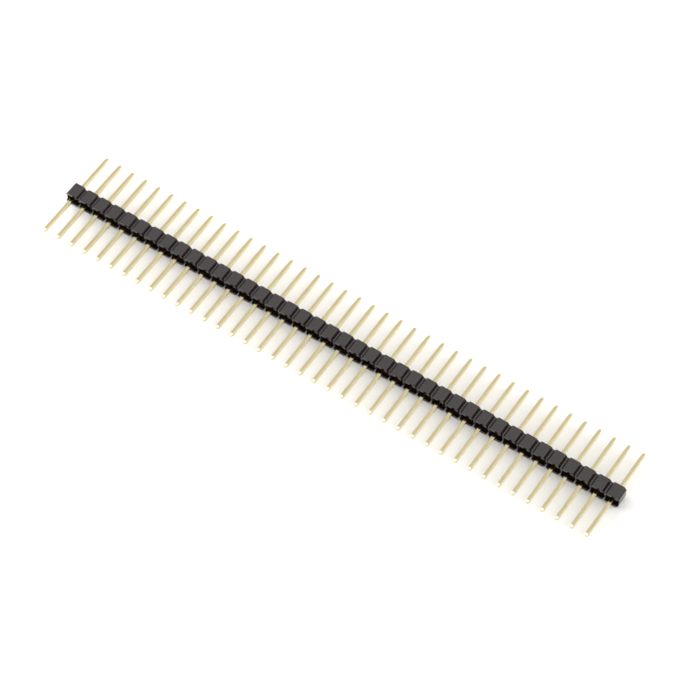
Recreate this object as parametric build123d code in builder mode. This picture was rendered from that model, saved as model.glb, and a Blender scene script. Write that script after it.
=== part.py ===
# A straight single-row pin header strip, lying on its side as it comes to rest.
# X runs along the row, Y along the pins with the board side at -Y, and Z is up.
# The origin lies under the middle of the strip, on the surface that it rests on.
import os

from build123d import *

# The row
PITCH = 2.54
PIN_COUNT = 40

# The moulded housing: one bevelled cell for each pin, joined by a thinner web
BODY_DEPTH = 2.40
BODY_THICKNESS = 2.54
CELL_GAP = 0.22
CELL_BEVEL = 0.36
NOTCH_DEPTH = 0.46

# The board side: two stand-off lips on each cell, and a pocket around its pin
LIP_THICKNESS = 0.50
LIP_REACH = 0.33
POCKET_DEPTH = 0.35
POCKET_SIDE_WALL = 0.20
POCKET_CORNER = 0.25

# The square pins, tapered at both ends
PIN_LENGTH = 17.0
PIN_SIDE = 0.60
PIN_EDGE = 0.06
TIP_LENGTH = 0.50
TIP_SIDE = 0.28

# Worked out from the sizes above
AXIS_HEIGHT = BODY_THICKNESS / 2
CELL_WIDTH = PITCH - CELL_GAP
WEB_THICKNESS = BODY_THICKNESS - 2 * NOTCH_DEPTH
BODY_LENGTH = PIN_COUNT * PITCH - CELL_GAP
CHANNEL_HEIGHT = BODY_THICKNESS - 2 * LIP_THICKNESS
POCKET_WIDTH = CELL_WIDTH - 2 * POCKET_SIDE_WALL
SHANK_LENGTH = PIN_LENGTH - 2 * TIP_LENGTH
FAR_FACE = BODY_DEPTH / 2
LIP_FACE = -BODY_DEPTH / 2
WEB_FACE = LIP_FACE + LIP_REACH


def across_pins(y, x=0):
    """The plane square to the pins at y, centred on the pin axis at x and facing -Y."""
    return Plane(origin=(x, y, AXIS_HEIGHT), x_dir=(1, 0, 0), z_dir=(0, -1, 0))


# One quarter of a cell's outline, seen along its pin, then mirrored into the whole
with BuildSketch() as cell_outline:
    with BuildLine():
        Polyline(
            (0, BODY_THICKNESS / 2),
            (CELL_WIDTH / 2 - CELL_BEVEL, BODY_THICKNESS / 2),
            (CELL_WIDTH / 2, WEB_THICKNESS / 2),
            (CELL_WIDTH / 2, 0),
        )
        mirror(about=Plane.XZ)
        mirror(about=Plane.YZ)
    make_face()

# The pocket's outline, with its corners kept clear of the cell's bevels
with BuildSketch() as pocket_outline:
    Rectangle(POCKET_WIDTH, CHANNEL_HEIGHT)
    chamfer(pocket_outline.vertices(), POCKET_CORNER)

# The drawn wire's section, which is also the hole that grips the pin
with BuildSketch() as wire_section:
    Rectangle(PIN_SIDE, PIN_SIDE)
    chamfer(wire_section.vertices(), PIN_EDGE)

# The small end face of a tip
with BuildSketch() as tip_section:
    add(scale(wire_section.sketch, by=TIP_SIDE / PIN_SIDE, mode=Mode.PRIVATE))

# The housing is one moulding
with BuildPart() as housing:
    # The cells on their web, with a break-off notch above and below each joint
    with BuildSketch(across_pins(FAR_FACE)):
        Rectangle(BODY_LENGTH, WEB_THICKNESS)
        with GridLocations(PITCH, 0, PIN_COUNT, 1):
            add(cell_outline.sketch)
    extrude(amount=BODY_DEPTH)

    # The channel between the lips, and the gaps that part one cell's lips from the next
    with BuildSketch(across_pins(LIP_FACE)):
        Rectangle(BODY_LENGTH, CHANNEL_HEIGHT)
        with GridLocations(PITCH, 0, PIN_COUNT - 1, 1):
            Rectangle(CELL_GAP, BODY_THICKNESS)
    extrude(amount=-LIP_REACH, mode=Mode.SUBTRACT)

    # The pockets behind the channel
    with BuildSketch(across_pins(WEB_FACE)):
        with GridLocations(PITCH, 0, PIN_COUNT, 1):
            add(pocket_outline.sketch)
    extrude(amount=-POCKET_DEPTH, mode=Mode.SUBTRACT)

    # The press-fit holes for the pins
    with BuildSketch(across_pins(FAR_FACE)):
        with GridLocations(PITCH, 0, PIN_COUNT, 1):
            add(wire_section.sketch)
    extrude(amount=BODY_DEPTH, mode=Mode.SUBTRACT)

housing.part.label = "housing"
os.makedirs("parts", exist_ok=True)
export_step(housing.part, "parts/housing.step")

# One pin for each cell, numbered from the -X end
for number in range(1, PIN_COUNT + 1):
    pin_x = (number - (PIN_COUNT + 1) / 2) * PITCH
    with BuildPart() as pin:
        with BuildSketch(across_pins(SHANK_LENGTH / 2, pin_x)):
            add(wire_section.sketch)
        extrude(amount=SHANK_LENGTH)
        for side in (1, -1):
            with BuildSketch(across_pins(side * SHANK_LENGTH / 2, pin_x)):
                add(wire_section.sketch)
            with BuildSketch(across_pins(side * PIN_LENGTH / 2, pin_x)):
                add(tip_section.sketch)
            loft()
    pin.part.label = f"pin_{number:02d}"
    export_step(pin.part, f"parts/pin_{number:02d}.step")
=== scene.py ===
# %% [markdown]
# # A pin header strip
# A pin header is a row of square gold-plated pins pressed through a black moulded housing.
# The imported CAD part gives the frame: where each piece sits and how large it is.
# Loading it first means that nothing in this lesson has to be fitted by eye.

# %% The frame
import math

import bmesh
import bpy
from mathutils import Matrix, Vector


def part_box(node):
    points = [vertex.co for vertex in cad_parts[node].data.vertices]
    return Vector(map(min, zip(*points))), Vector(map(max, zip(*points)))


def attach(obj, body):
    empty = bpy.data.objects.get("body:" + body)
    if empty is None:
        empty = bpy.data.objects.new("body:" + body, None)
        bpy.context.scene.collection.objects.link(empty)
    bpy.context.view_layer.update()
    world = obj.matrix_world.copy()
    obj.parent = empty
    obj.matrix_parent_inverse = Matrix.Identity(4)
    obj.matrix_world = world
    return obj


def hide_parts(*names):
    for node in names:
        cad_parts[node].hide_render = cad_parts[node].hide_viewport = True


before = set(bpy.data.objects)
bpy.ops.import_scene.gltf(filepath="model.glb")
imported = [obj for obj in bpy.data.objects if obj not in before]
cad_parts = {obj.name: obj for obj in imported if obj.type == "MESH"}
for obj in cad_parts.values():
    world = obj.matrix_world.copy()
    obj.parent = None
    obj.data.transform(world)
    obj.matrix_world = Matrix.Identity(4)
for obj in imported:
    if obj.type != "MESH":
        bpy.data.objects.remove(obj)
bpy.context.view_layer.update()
MM = 0.001
pin_nodes = sorted(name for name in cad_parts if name.startswith("pin_"))
body_low, body_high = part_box("housing")
print("frame:", len(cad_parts), "nodes,", len(pin_nodes), "of them pins")

# %% [markdown]
# ## The sizes of one cell
# The housing is the same cell over and over, so a quarter of one cell holds the whole shape.
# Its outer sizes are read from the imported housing. The rest are the sizes that a mould maker
# would put on the drawing: the bevels of the break-off notch, the lips that stand on the
# board, and the pocket round each pin.

# %% Sizes of a cell
PITCH = 2.54 * MM
AXIS_HEIGHT = (body_low.z + body_high.z) / 2
HALF_THICKNESS = (body_high.z - body_low.z) / 2
FAR_FACE = body_high.y
LIP_FACE = body_low.y
END_FACE = body_high.x
CELL_HALF_WIDTH = 1.16 * MM
TOP_HALF_WIDTH = 0.80 * MM
WEB_HALF_THICKNESS = 0.79 * MM
LIP_REACH = 0.33 * MM
WEB_FACE = LIP_FACE + LIP_REACH
POCKET_DEPTH = 0.35 * MM
POCKET_FLOOR = WEB_FACE + POCKET_DEPTH
POCKET_HALF_WIDTH = 1.10 * MM
POCKET_CORNER = 0.25 * MM
HOLE_HALF_WIDTH = 0.308 * MM
HOLE_CORNER = 0.06 * MM
# Points closer together than this are the same point
NEAR = 1e-6
print("cell:", round(2 * CELL_HALF_WIDTH / MM, 3), "mm wide on a pitch of", PITCH / MM, "mm")

# %% [markdown]
# ## A quarter of a cell
# The cell is a bar with a stepped front: first the pocket floor, then the face of the web,
# then the tips of the two lips. A box with cuts could give it, but each cut would leave stray
# edges. Here the far face is drawn once, with a notch where the pin goes through, and pulled
# forward three times. After the first pull the front is split into its pocket, web and lip,
# and each later pull takes only what still stands.

# %% Pulling a face forward


def all_of(faces):
    """The faces with their edges and corners, as the bmesh operators want them."""
    edges = {e for f in faces for e in f.edges}
    return list(faces) + list(edges) + list({v for e in edges for v in e.verts})


def only(kind, geometry):
    return [g for g in geometry if isinstance(g, kind)]


def pull(bm, faces, distance, keep=False):
    """Extrudes faces along Y and returns the moved ones."""
    made = bmesh.ops.extrude_face_region(bm, geom=faces)["geom"]
    bmesh.ops.translate(bm, verts=only(bmesh.types.BMVert, made), vec=(0, distance, 0))
    if not keep:
        bmesh.ops.delete(bm, geom=faces, context="FACES")
    return only(bmesh.types.BMFace, made)


def split(bm, faces, point, across):
    """Cuts only these faces with a plane and returns those behind it and those in front of it."""
    cut = bmesh.ops.bisect_plane(
        bm, geom=all_of(faces), dist=NEAR, plane_co=point, plane_no=across
    )
    parts = only(bmesh.types.BMFace, cut["geom"])
    ahead = [f for f in parts if (f.calc_center_bounds() - point).dot(across) > 0]
    return [f for f in parts if f not in ahead], ahead


def quarter_cell():
    bm = bmesh.new()
    outline = [
        (HOLE_HALF_WIDTH, 0),
        (PITCH / 2, 0),
        (PITCH / 2, WEB_HALF_THICKNESS),
        (CELL_HALF_WIDTH, WEB_HALF_THICKNESS),
        (TOP_HALF_WIDTH, HALF_THICKNESS),
        (0, HALF_THICKNESS),
        (0, HOLE_HALF_WIDTH),
        (HOLE_HALF_WIDTH - HOLE_CORNER, HOLE_HALF_WIDTH),
        (HOLE_HALF_WIDTH, HOLE_HALF_WIDTH - HOLE_CORNER),
    ]
    far = bm.faces.new([bm.verts.new((x, FAR_FACE, z)) for x, z in outline])
    front = pull(bm, [far], POCKET_FLOOR - FAR_FACE, keep=True)

    lip_edge = Vector((0, 0, WEB_HALF_THICKNESS))
    pocket_side = Vector((POCKET_HALF_WIDTH, 0, 0))
    slant = pocket_side + lip_edge - Vector((POCKET_CORNER, 0, 0))
    below, lip = split(bm, front, lip_edge, Vector((0, 0, 1)))
    inside, side = split(bm, below, pocket_side, Vector((1, 0, 0)))
    corner = split(bm, inside, slant, Vector((1, 0, 1)))[1]

    standing = pull(bm, lip + side + corner, WEB_FACE - POCKET_FLOOR)
    lip = [f for f in standing if f.calc_center_bounds().z > WEB_HALF_THICKNESS]
    pull(bm, lip, LIP_FACE - WEB_FACE)
    return bm


body = quarter_cell()
print("quarter cell:", len(body.faces), "faces")

# %% [markdown]
# ## From a quarter to the strip
# The walls in the planes where quarters and cells meet are deleted, and mirroring and copying
# then weld the pieces along their open edges. The two ends are cut flush with the last cells
# and closed. Modelling the strip as one closed skin matters, because it is one moulding: light
# can't leak between the cells, and the break-off notches run on without a seam.

# %% The strip of cells


def drop_joining_walls(bm):
    def on_joint(face):
        spots = [v.co for v in face.verts]
        return (
            all(abs(p.x) < NEAR for p in spots)
            or all(abs(p.z) < NEAR for p in spots)
            or all(abs(p.x - PITCH / 2) < NEAR for p in spots)
        )

    bmesh.ops.delete(bm, geom=[f for f in bm.faces if on_joint(f)], context="FACES")


def mirror_over(bm, axis):
    bmesh.ops.mirror(bm, geom=all_of(bm.faces), merge_dist=NEAR, axis=axis)
    bmesh.ops.remove_doubles(bm, verts=bm.verts, dist=NEAR)


def repeat_cell(bm, count):
    """Copies the cell along the row and centres the row on the pin axis."""
    cell = all_of(bm.faces)
    first_x = -(count - 1) / 2 * PITCH
    for number in range(1, count):
        copied = bmesh.ops.duplicate(bm, geom=cell)["geom"]
        corners = only(bmesh.types.BMVert, copied)
        bmesh.ops.translate(bm, verts=corners, vec=(number * PITCH, 0, 0))
    bmesh.ops.remove_doubles(bm, verts=bm.verts, dist=NEAR)
    bmesh.ops.translate(bm, verts=bm.verts, vec=(first_x, 0, AXIS_HEIGHT))


def close_ends(bm):
    for side in (1, -1):
        bmesh.ops.bisect_plane(
            bm,
            geom=all_of(bm.faces),
            dist=NEAR,
            plane_co=(side * END_FACE, 0, 0),
            plane_no=(side, 0, 0),
            clear_outer=True,
        )
        rim = [e for e in bm.edges if e.is_boundary]
        bmesh.ops.edgeloop_fill(bm, edges=rim)


drop_joining_walls(body)
for axis in ("X", "Z"):
    mirror_over(body, axis)
repeat_cell(body, len(pin_nodes))
close_ends(body)
bmesh.ops.recalc_face_normals(body, faces=body.faces)
print("strip:", len(body.faces), "faces,", sum(not e.is_manifold for e in body.edges), "open edges")

# %% [markdown]
# ## Rounding the moulding
# No mould gives a razor edge, and the thin bright line along each edge is what tells the eye
# that a part is plastic and not cut from card. The outward corners are rounded with a bevel
# operator, and the mouths of the pin holes get a wider one, like the funnel that leads a pin
# into its hole. The foot of each break-off notch is hollowed in the same way, because a cutter
# leaves its own radius in the steel. Each face that the rounding makes is marked, so that the
# finish can be a little paler where hands and boards rub it.

# %% Rounded edges
EDGE_RADIUS = 0.025 * MM
EDGE_SEGMENTS = 3
HOLLOW_RADIUS = 0.05 * MM
HOLLOW_SEGMENTS = 4
# The mark of a hollow is low, because nothing rubs it
HOLLOW_WEAR = 0.25
FUNNEL = 0.07 * MM
FUNNEL_SEGMENTS = 2
SHARP = math.radians(20)
# How far a normal may lean and still count as square to an axis, or as along it
LEAN = 0.1


def is_funnel(edge):
    """An edge of a pin hole's mouth on the far face."""
    middle = (edge.verts[0].co + edge.verts[1].co) / 2
    along = (middle.x + len(pin_nodes) / 2 * PITCH) % PITCH - PITCH / 2
    off_axis = max(abs(along), abs(middle.z - AXIS_HEIGHT))
    on_far_face = all(v.co.y > FAR_FACE - NEAR for v in edge.verts)
    return on_far_face and off_axis < HOLE_HALF_WIDTH + NEAR


def is_notch_corner(edge):
    """An edge along Y where a bevel of the cell meets the floor of the notch."""
    return (
        not edge.is_convex
        and edge.calc_face_angle(0) > SHARP
        and all(abs(abs(v.co.z - AXIS_HEIGHT) - WEB_HALF_THICKNESS) < NEAR for v in edge.verts)
        and abs(edge.verts[0].co.x - edge.verts[1].co.x) < NEAR
        and all(abs(f.normal.y) < LEAN for f in edge.link_faces)
    )


def round_off(bm, edges, radius, segments, mark, worn=1.0):
    """Bevels the edges and marks the faces that this makes."""
    made = bmesh.ops.bevel(
        bm,
        geom=edges,
        offset=radius,
        offset_type="OFFSET",
        affect="EDGES",
        segments=segments,
        profile=0.5,
        material=-1,
        clamp_overlap=False,
    )
    for face in made["faces"]:
        face[mark] = worn


edge_mark = body.faces.layers.float.new("edge")
hollows = [e for e in body.edges if is_notch_corner(e)]
round_off(body, hollows, HOLLOW_RADIUS, HOLLOW_SEGMENTS, edge_mark, HOLLOW_WEAR)
body.normal_update()
outward = [e for e in body.edges if e.is_convex and e.calc_face_angle(0) > SHARP]
funnels = [e for e in outward if is_funnel(e)]
plain = [e for e in outward if not is_funnel(e)]
round_off(body, plain, EDGE_RADIUS, EDGE_SEGMENTS, edge_mark)
round_off(body, funnels, FUNNEL, FUNNEL_SEGMENTS, edge_mark)
print("rounded:", len(hollows), "hollows,", len(plain), "edges and", len(funnels), "at the funnels")

# %% [markdown]
# ## Flats that stay flat
# Smooth shading averages the normals at each corner, and that would make every flat look like
# a pillow. So each corner is given its normal: a flat keeps its own, and a rounded face takes
# those of the flats beside it. The highlight then turns only where the edge is rounded.

# %% The housing as a piece


def corner_normals(bm):
    """One normal for each corner of each face, in the order of the faces."""
    mark = bm.faces.layers.float["edge"]
    bm.normal_update()
    normals = []
    for face in bm.faces:
        for corner in face.verts:
            flats = [f.normal for f in corner.link_faces if not f[mark]]
            if not face[mark]:
                turned = face.normal
            elif flats:
                turned = max(flats, key=face.normal.dot)
            else:
                turned = sum((f.normal for f in corner.link_faces), Vector()).normalized()
            normals.append(turned.copy())
    return normals


def as_piece(bm, name, nodes):
    """Makes the mesh an object of the part that stands for CAD nodes."""
    mesh = bpy.data.meshes.new(name)
    normals = corner_normals(bm)
    bm.to_mesh(mesh)
    bm.free()
    mesh.shade_smooth()
    mesh.normals_split_custom_set(normals)
    piece = bpy.data.objects.new(name, mesh)
    bpy.context.scene.collection.objects.link(piece)
    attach(piece, "root")
    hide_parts(*nodes)
    return piece


moulding = as_piece(body, "moulding", ["housing"])
print("moulding:", len(moulding.data.polygons), "faces")

# %% [markdown]
# ## One pin
# A pin is a length of square drawn wire. A press cuts it and coins each end to a blunt point,
# so that it finds its hole. A cube whose two ends are pulled out and narrowed gives that shape,
# and one bevel of all its edges rounds the wire's corners and the rim of the point.

# %% The pin's shape
pin_low, pin_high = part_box(pin_nodes[0])
PIN_SIDE = pin_high.z - pin_low.z
PIN_LENGTH = pin_high.y - pin_low.y
WIRE_CORNER = 0.08 * MM
WIRE_SEGMENTS = 3
TIP_LENGTH = 0.46 * MM
TIP_SIDE = 0.36 * MM


def pin_shape():
    bm = bmesh.new()
    shank = PIN_LENGTH - 2 * TIP_LENGTH
    narrower = TIP_SIDE / PIN_SIDE
    bmesh.ops.create_cube(bm, size=1, matrix=Matrix.Diagonal((PIN_SIDE, shank, PIN_SIDE, 1)))
    for side in (1, -1):
        end = pull(bm, [f for f in bm.faces if f.normal.y * side > 1 - LEAN], side * TIP_LENGTH)
        bmesh.ops.scale(bm, verts=end[0].verts, vec=(narrower, 1, narrower))
    bmesh.ops.recalc_face_normals(bm, faces=bm.faces)
    return bm


one_pin = pin_shape()
pin_mark = one_pin.faces.layers.float.new("edge")
round_off(one_pin, list(one_pin.edges), WIRE_CORNER, WIRE_SEGMENTS, pin_mark)
print("pin:", len(one_pin.faces), "faces")

# %% [markdown]
# ## Forty pins
# On the real strip each pin is a piece of its own, so each gets its own object and stands for
# its own CAD node. The frame says where each one sits, and copies of the one shape go there.

# %% The row of pins
pins = []
for node in pin_nodes:
    low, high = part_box(node)
    copy = one_pin.copy()
    bmesh.ops.translate(copy, verts=copy.verts, vec=(low + high) / 2)
    pins.append(as_piece(copy, node.replace("pin", "gold_pin"), [node]))
one_pin.free()
print("pins:", len(pins), "pieces of", len(pins[0].data.polygons), "faces")

# %% [markdown]
# ## Unevenness
# Neither plastic nor plating is perfectly even. Both need a broad cloudiness and a fine grain,
# at sizes that differ from one to the other, so the two noises are put once into a node group.
# It gives out masks only, and each finish decides what a mask does to its colour or gloss.
# A few short helpers build the nodes, here and in all the finishes that follow.

# %% A group for unevenness
NOISE_DETAIL = {"Broad": 2.0, "Fine": 3.0}
NOISE_ROUGHNESS = 0.55
# Most of a noise lies between these two values, which become 0 and 1
NOISE_SPREAD = (0.3, 0.7)


def feed(tree, value, socket):
    """Links another node's socket to this one, or sets it to a plain value."""
    if isinstance(value, bpy.types.NodeSocket):
        tree.links.new(value, socket)
    else:
        socket.default_value = value


def dial(tree, node, **values):
    """Feeds a node's sockets by name, and sets its other properties."""
    for name, value in values.items():
        socket = node.inputs.get(name.replace("_", " "))
        if socket is not None:
            feed(tree, value, socket)
        else:
            setattr(node, name, value)
    return node


def put(tree, kind, **values):
    """Adds a node and dials its values."""
    return dial(tree, tree.nodes.new(kind), **values)


def reckoned(tree, operation, first, second):
    """The result of a Math node on two numbers or sockets."""
    made = put(tree, "ShaderNodeMath", operation=operation)
    for socket, value in zip(made.inputs, (first, second)):
        feed(tree, value, socket)
    return made.outputs[0]


def ranged(tree, value, low, high, start=0.0, end=1.0, way="LINEAR"):
    """Goes from low to high while the value goes from start to end."""
    limits = {"From_Min": start, "From_Max": end, "To_Min": low, "To_Max": high}
    return put(tree, "ShaderNodeMapRange", interpolation_type=way, Value=value, **limits).outputs[0]


unevenness = bpy.data.node_groups.new("unevenness", "ShaderNodeTree")
sockets = unevenness.interface
sockets.new_socket("Vector", in_out="INPUT", socket_type="NodeSocketVector")
for name in NOISE_DETAIL:
    sockets.new_socket(name + " Size", in_out="INPUT", socket_type="NodeSocketFloat")
    sockets.new_socket(name, in_out="OUTPUT", socket_type="NodeSocketFloat")
given = put(unevenness, "NodeGroupInput").outputs
group_out = put(unevenness, "NodeGroupOutput")
for name, detail in NOISE_DETAIL.items():
    scale = reckoned(unevenness, "DIVIDE", 1.0, given[name + " Size"])
    noise = put(unevenness, "ShaderNodeTexNoise", Vector=given["Vector"], Scale=scale)
    dial(unevenness, noise, Detail=detail, Roughness=NOISE_ROUGHNESS)
    mask = ranged(unevenness, noise.outputs[0], 0.0, 1.0, *NOISE_SPREAD)
    feed(unevenness, mask, group_out.inputs[name])
print("group:", unevenness.name)

# %% [markdown]
# ## Black moulded plastic
# The housing is a glass-filled black plastic with a satin gloss. Almost all that the eye gets
# from it is reflection, so the base colour is close to black and the roughness does the work:
# a fine grain from the spark-eroded mould, broad clouding where the melt flowed, and rounded
# edges that are rubbed a little paler.

# %% The plastic
BLACK = (0.0115, 0.0050, 0.0053, 1)
CLOUDED_BLACK = (0.0150, 0.0072, 0.0075, 1)
RUBBED_BLACK = (0.0320, 0.0240, 0.0220, 1)
RUBBED_FROM = 0.5
PLASTIC_IOR = 1.76
CLOUD_SIZE = 1.6 * MM
CLOUD_ROUGHNESS = (0.09, 0.12)
GRAIN_SIZE = 0.09 * MM
GRAIN_ROUGHNESS = (0.0, 0.03)
GRAIN_SHARE = 0.25
PLASTIC_RELIEF = 0.004 * MM
# A Mix node has sockets for several kinds of value: these are its factor and its colours
MIX_IN = (0, 6, 7)
MIX_OUT = 2


def new_finish(name):
    """A new material with its node tree, its Object coordinates and its shader."""
    finish = bpy.data.materials.new(name)
    finish.use_nodes = True
    tree = finish.node_tree
    place = put(tree, "ShaderNodeTexCoord").outputs["Object"]
    return finish, tree, place, tree.nodes["Principled BSDF"]


def uneven(tree, vector, broad, fine):
    """The broad and the fine mask, at the sizes given."""
    group = put(tree, "ShaderNodeGroup", node_tree=unevenness)
    dial(tree, group, Vector=vector, Broad_Size=broad, Fine_Size=fine)
    return group.outputs["Broad"], group.outputs["Fine"]


def blended(tree, share, first, second):
    """A colour between two colours or colour sockets."""
    mix = put(tree, "ShaderNodeMix", data_type="RGBA")
    for number, value in zip(MIX_IN, (share, first, second)):
        feed(tree, value, mix.inputs[number])
    return mix.outputs[MIX_OUT]


def product(tree, first, second):
    return reckoned(tree, "MULTIPLY", first, second)


def total(tree, first, second):
    return reckoned(tree, "ADD", first, second)


def embossed(tree, height, depth):
    """The normal of a surface with this relief."""
    return put(tree, "ShaderNodeBump", Strength=1.0, Distance=depth, Height=height).outputs[0]


plastic, tree, place, shader = new_finish("black moulded plastic")
broad, fine = uneven(tree, place, CLOUD_SIZE, GRAIN_SIZE)
edge = put(tree, "ShaderNodeAttribute", attribute_name="edge").outputs["Fac"]
rubbed = product(tree, ranged(tree, edge, 0.0, 1.0, start=RUBBED_FROM), fine)
clouded = blended(tree, broad, BLACK, CLOUDED_BLACK)
cloud_gloss = ranged(tree, broad, *CLOUD_ROUGHNESS)
grain_gloss = ranged(tree, fine, *GRAIN_ROUGHNESS)
relief = total(tree, broad, product(tree, fine, GRAIN_SHARE))
dial(
    tree,
    shader,
    Base_Color=blended(tree, rubbed, clouded, RUBBED_BLACK),
    Roughness=total(tree, cloud_gloss, grain_gloss),
    Normal=embossed(tree, relief, PLASTIC_RELIEF),
    IOR=PLASTIC_IOR,
)
moulding.data.materials.append(plastic)
print("finish:", plastic.name)

# %% [markdown]
# ## Pale gold plating
# The pins are brass with a thin flash of gold, which is why they look so pale. Drawing the
# wire leaves fine lines along it, so the grain is stretched along the pin before it is used.

# %% The plating
PALE_GOLD = (0.745, 0.655, 0.400, 1)
DEEP_GOLD = (0.700, 0.600, 0.355, 1)
DRAWN_OUT = (1.0, 0.03, 1.0)
# The broad and the fine size of the drawn lines, and of the clouds and specks
LINE_SIZES = (0.25 * MM, 0.05 * MM)
SPECK_SIZES = (2.2 * MM, 0.12 * MM)
LINE_ROUGHNESS = (0.08, 0.13)
SPECK_ROUGHNESS = (0.0, 0.04)
BROAD_LINE_SHARE = 0.6
FINE_LINE_SHARE = 0.4
PLATING_RELIEF = 0.002 * MM

plating, tree, place, shader = new_finish("pale gold plating")
stretched = put(tree, "ShaderNodeMapping", Vector=place, Scale=DRAWN_OUT).outputs[0]
drawn, lines = uneven(tree, stretched, *LINE_SIZES)
cloud, speck = uneven(tree, place, *SPECK_SIZES)
line_gloss = ranged(tree, lines, *LINE_ROUGHNESS)
speck_gloss = ranged(tree, speck, *SPECK_ROUGHNESS)
broad_lines = product(tree, drawn, BROAD_LINE_SHARE)
relief = total(tree, broad_lines, product(tree, lines, FINE_LINE_SHARE))
dial(
    tree,
    shader,
    Base_Color=blended(tree, cloud, PALE_GOLD, DEEP_GOLD),
    Roughness=total(tree, line_gloss, speck_gloss),
    Normal=embossed(tree, relief, PLATING_RELIEF),
    Metallic=1.0,
)
for pin in pins:
    pin.data.materials.append(plating)
print("finish:", plating.name)

# %% [markdown]
# ## Floor
# The strip lies on a white sheet under soft light. The floor is only a stage: it takes the
# shadow, and the sides of the pins and the lips mirror it. It is lifted a little for the rays
# that are seen directly or in a mirror, which makes it white without more light on the strip.
# In mirrors it ends just outside the picture, as a real sheet does, and the grey of the room
# follows. That is what darkens the bevel at the right end.

# %% The white floor
FLOOR_REACH = 3.0
FLOOR_SEGMENTS = 64
FLOOR_DROP = 0.004 * MM
FLOOR_WHITE = (0.93, 0.925, 0.91, 1)
FLOOR_ROUGHNESS = 0.9
FLOOR_LIFT = 0.05
SHEET_REACH = (90 * MM, 110 * MM)
ROOM_GREY = (0.12, 0.12, 0.12, 1)
WHITE = (1, 1, 1, 1)


def shaded(tree, value, low, high, start, end):
    """Like ranged, with a soft start and a soft end."""
    return ranged(tree, value, low, high, start, end, way="SMOOTHSTEP")


sheet = bmesh.new()
level = Matrix.Translation((0, 0, -FLOOR_DROP))
bmesh.ops.create_circle(
    sheet, cap_ends=True, segments=FLOOR_SEGMENTS, radius=FLOOR_REACH, matrix=level
)
sheet_mesh = bpy.data.meshes.new("floor")
sheet.to_mesh(sheet_mesh)
sheet.free()
floor = bpy.data.objects.new("floor", sheet_mesh)
bpy.context.scene.collection.objects.link(floor)

paper, tree, place, shader = new_finish("white paper")
path = put(tree, "ShaderNodeLightPath").outputs
direct = total(tree, path["Is Camera Ray"], path["Is Glossy Ray"])
seen = total(tree, direct, path["Is Transmission Ray"])
out = put(tree, "ShaderNodeVectorMath", operation="LENGTH", Vector=place).outputs["Value"]
beyond = shaded(tree, out, 0.0, 1.0, *SHEET_REACH)
mirrored_room = product(tree, beyond, path["Is Glossy Ray"])
dial(
    tree,
    shader,
    Base_Color=blended(tree, mirrored_room, FLOOR_WHITE, ROOM_GREY),
    Roughness=FLOOR_ROUGHNESS,
    Specular_IOR_Level=0.0,
    Emission_Color=WHITE,
    Emission_Strength=product(tree, seen, FLOOR_LIFT),
)
floor.data.materials.append(paper)
print("floor:", 2 * FLOOR_REACH, "m across")

# %% [markdown]
# ## Light from a tent
# The world is a white tent that gives soft light from all round. It is dimmer in front, a bit
# brighter low down, and white at the horizon, where the floor runs into it. Three round patches
# of it differ: a dark gap beside the camera, which is why the hollow between the lips goes
# black, a bright window at the right, which runs along the corners of the pins, and a dim door
# low at the right, which darkens the bevels. The level is plain: a colour renders about as it
# is written.

# %% The tent
TENT = 0.86
FRONT_DIM = 0.72
SWEEP_GLOW = 0.20
# Where each change starts and ends, as the Y or the Z of a way to the tent
FRONT = (-0.9, 0.2)
SWEEP = (0.2, 0.7)
HORIZON = (0.10, 0.20)
# Each patch of the tent: the way to its middle, its inner and outer radius in degrees, its level
CAMERA_GAP = ((-0.26, -0.50, 0.83), 13, 27, 0.02)
RIGHT_WINDOW = ((0.64, 0.46, 0.56), 16, 32, 2.4)
DOOR = ((0.90, 0.43, 0.00), 9, 19, 0.25)


def patch(tree, ways, middle, inner, outer, level):
    """A round patch of the tent at its own level, and 1 everywhere else."""
    facing = put(tree, "ShaderNodeVectorMath", operation="DOT_PRODUCT", Vector=ways)
    facing.inputs[1].default_value = Vector(middle).normalized()
    rim, core = (math.cos(math.radians(angle)) for angle in (outer, inner))
    return shaded(tree, facing.outputs["Value"], 1.0, level, rim, core)


tent = bpy.data.worlds.new("tent")
tent.use_nodes = True
tree = tent.node_tree
ways = put(tree, "ShaderNodeTexCoord").outputs["Generated"]
towards = put(tree, "ShaderNodeSeparateXYZ", Vector=ways).outputs
front = shaded(tree, towards["Y"], TENT * FRONT_DIM, TENT, *FRONT)
walls = product(tree, front, shaded(tree, towards["Z"], 1 + SWEEP_GLOW, 1.0, *SWEEP))
for spot in (CAMERA_GAP, RIGHT_WINDOW):
    walls = product(tree, walls, patch(tree, ways, *spot))
horizon = ranged(tree, towards["Z"], 1.0, 0.0, *HORIZON)
brighter = reckoned(tree, "MAXIMUM", walls, horizon)
lit = product(tree, brighter, patch(tree, ways, *DOOR))
dial(tree, tree.nodes["Background"], Color=WHITE, Strength=lit)
bpy.context.scene.world = tent
print("world: a tent of", TENT)

# %% [markdown]
# ## Light from soft boxes
# A tent alone gives flat light. A long, narrow soft box puts the glint on the tips of the pins.
# Two wide ones, overhead and at the left, whiten the floor and make the shadow fall to the
# right. Mirrors don't show those two, so they can't bleach the plastic or the pins.

# %% The soft boxes
SOFT_BOX_AWAY = 0.60
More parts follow.
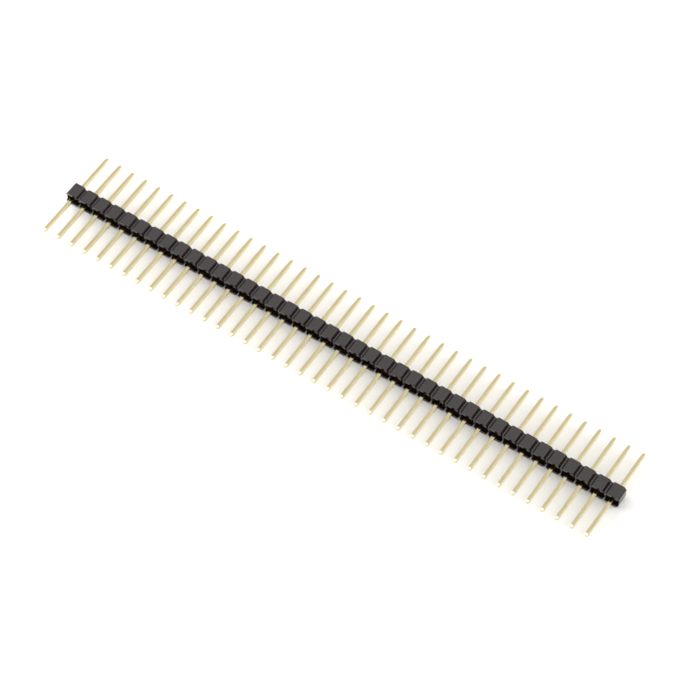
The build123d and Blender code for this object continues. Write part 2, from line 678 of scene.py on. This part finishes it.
# Each soft box: the way to it, its narrow and its long side, and its power
GLINT = ((-0.31, -0.05, 0.95), 0.12, 0.34, 0.31)
OVERHEAD = ((-0.20, 0.05, 0.98), 0.40, 0.40, 0.46)
BESIDE = ((-0.90, -0.10, 0.40), 0.60, 0.60, 4.5)


def soft_box(name, towards, narrow, long, power):
    """A lamp that faces the strip from the way given."""
    lamp = bpy.data.lights.new(name, "AREA")
    lamp.shape = "RECTANGLE"
    lamp.size = narrow
    lamp.size_y = long
    lamp.energy = power
    box = bpy.data.objects.new(name, lamp)
    box.location = Vector(towards).normalized() * SOFT_BOX_AWAY
    box.rotation_euler = (-box.location).to_track_quat("-Z", "Y").to_euler()
    box.visible_camera = False
    bpy.context.scene.collection.objects.link(box)
    return box


lamps = [soft_box("glint", *GLINT)]
for name, spot in (("overhead", OVERHEAD), ("beside", BESIDE)):
    lamps.append(soft_box(name, *spot))
    lamps[-1].visible_glossy = False
print("soft boxes:", [lamp.name for lamp in lamps])

# %% [markdown]
# ## Camera
# A long lens looks down on the strip from the board side. The angles come from lining up the
# tips of the pins with the picture, and the long lens keeps the row almost parallel.

# %% The camera
VIEW_TURN = math.radians(-33.69)
VIEW_DOWN = math.radians(56.64)
VIEW_AWAY = 456 * MM
VIEW_TARGET = Vector((2.69 * MM, -0.44 * MM, AXIS_HEIGHT))
SENSOR = 36.0
LENS = 153.77
NEAREST = 0.01
FARTHEST = 20

looking = Vector(
    (
        math.sin(VIEW_TURN) * math.cos(VIEW_DOWN),
        math.cos(VIEW_TURN) * math.cos(VIEW_DOWN),
        -math.sin(VIEW_DOWN),
    )
)
lens = bpy.data.cameras.new("camera")
lens.sensor_width = SENSOR
lens.lens = LENS
lens.clip_start = NEAREST
lens.clip_end = FARTHEST
camera = bpy.data.objects.new("camera", lens)
camera.location = VIEW_TARGET - looking * VIEW_AWAY
camera.rotation_euler = looking.to_track_quat("-Z", "Y").to_euler()
bpy.context.scene.collection.objects.link(camera)
bpy.context.scene.camera = camera
bpy.context.scene.view_settings.view_transform = "Standard"
print("camera:", [round(c / MM, 1) for c in camera.location], "mm")
